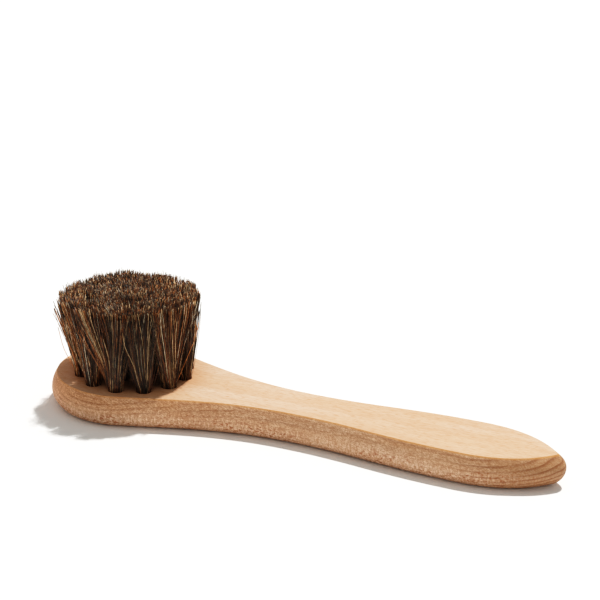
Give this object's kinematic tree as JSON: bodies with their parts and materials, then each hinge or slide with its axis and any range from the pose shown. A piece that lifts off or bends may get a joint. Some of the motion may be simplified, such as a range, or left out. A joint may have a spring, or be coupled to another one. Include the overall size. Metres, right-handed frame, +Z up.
{
  "type": "clothes brush",
  "caption": "Hand brush with a round head of stapled horsehair tufts on a flat, waisted wooden handle, for brushing cloth or leather by hand.",
  "frame": {"origin": "bottom centre of the whole object's box: under the middle of the overall length, on the surface the brush lies on", "axes": "+X along the handle from the head to the tail, +Z up out of the bristles' trimmed top, +Y across the handle"},
  "size_m": [0.1694, 0.0486, 0.0373],
  "materials": {
    "wood": "fine-sanded, unvarnished, pale straight grain on the flat faces and fleck on the edges",
    "horsehair": "natural mixed dark, chestnut and grey strands, soft sheen",
    "wire": "plain drawn wire"
  },
  "bodies": {
    "root": {"handle": "wood", "tuft_outer_01": "horsehair", "tuft_outer_02": "horsehair", "tuft_outer_03": "horsehair", "tuft_outer_04": "horsehair", "tuft_outer_05": "horsehair", "tuft_outer_06": "horsehair", "tuft_outer_07": "horsehair", "tuft_outer_08": "horsehair", "tuft_outer_09": "horsehair", "tuft_outer_10": "horsehair", "tuft_outer_11": "horsehair", "tuft_outer_12": "horsehair", "tuft_inner_01": "horsehair", "tuft_inner_02": "horsehair", "tuft_inner_03": "horsehair", "tuft_inner_04": "horsehair", "tuft_inner_05": "horsehair", "tuft_inner_06": "horsehair", "tuft_centre": "horsehair", "staple_outer_01": "wire", "staple_outer_02": "wire", "staple_outer_03": "wire", "staple_outer_04": "wire", "staple_outer_05": "wire", "staple_outer_06": "wire", "staple_outer_07": "wire", "staple_outer_08": "wire", "staple_outer_09": "wire", "staple_outer_10": "wire", "staple_outer_11": "wire", "staple_outer_12": "wire", "staple_inner_01": "wire", "staple_inner_02": "wire", "staple_inner_03": "wire", "staple_inner_04": "wire", "staple_inner_05": "wire", "staple_inner_06": "wire", "staple_centre": "wire"}
  },
  "joints": []
}
